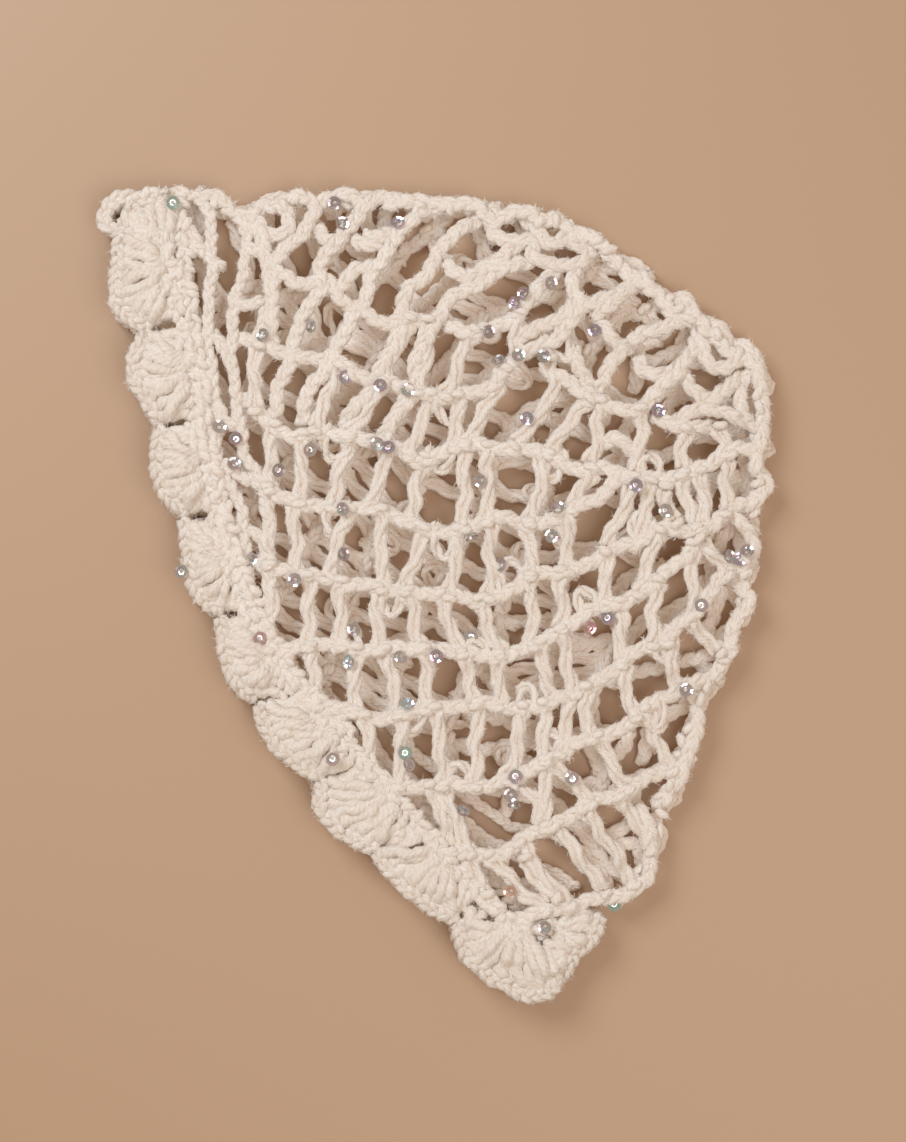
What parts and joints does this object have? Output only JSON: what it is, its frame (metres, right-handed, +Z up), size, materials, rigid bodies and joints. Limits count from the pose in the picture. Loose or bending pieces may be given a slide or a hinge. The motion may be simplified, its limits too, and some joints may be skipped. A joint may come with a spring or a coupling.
{
  "type": "crocheted mesh beanie",
  "caption": "Open-mesh crocheted beanie with a scalloped shell edging round the brim, lying flat and folded in two layers, open along the brim.",
  "frame": {"origin": "middle of the flat outline, on the surface that the hat lies on", "axes": "+X along the brim, +Y from the brim to the crown, +Z up from the surface"},
  "size_m": [0.2648, 0.1807, 0.0134],
  "materials": {
    "crown_yarn": "matte cream cotton yarn in chain stitches",
    "edging_yarn": "matte cream cotton yarn in fans of tall stitches",
    "sequin": "clear with a pearly sheen"
  },
  "bodies": {
    "root": {"crown_net": "crown_yarn", "brim_shell_under_1": "edging_yarn", "brim_shell_under_2": "edging_yarn", "brim_shell_under_3": "edging_yarn", "brim_shell_under_4": "edging_yarn", "brim_shell_under_5": "edging_yarn", "brim_shell_under_6": "edging_yarn", "brim_shell_under_7": "edging_yarn", "brim_shell_under_8": "edging_yarn", "brim_shell_under_9": "edging_yarn", "brim_shell_top_1": "edging_yarn", "brim_shell_top_2": "edging_yarn", "brim_shell_top_3": "edging_yarn", "brim_shell_top_4": "edging_yarn", "brim_shell_top_5": "edging_yarn", "brim_shell_top_6": "edging_yarn", "brim_shell_top_7": "edging_yarn", "brim_shell_top_8": "edging_yarn", "brim_shell_top_9": "edging_yarn", "brim_shell_corner_left": "edging_yarn", "brim_shell_corner_right": "edging_yarn"}
  },
  "joints": []
}
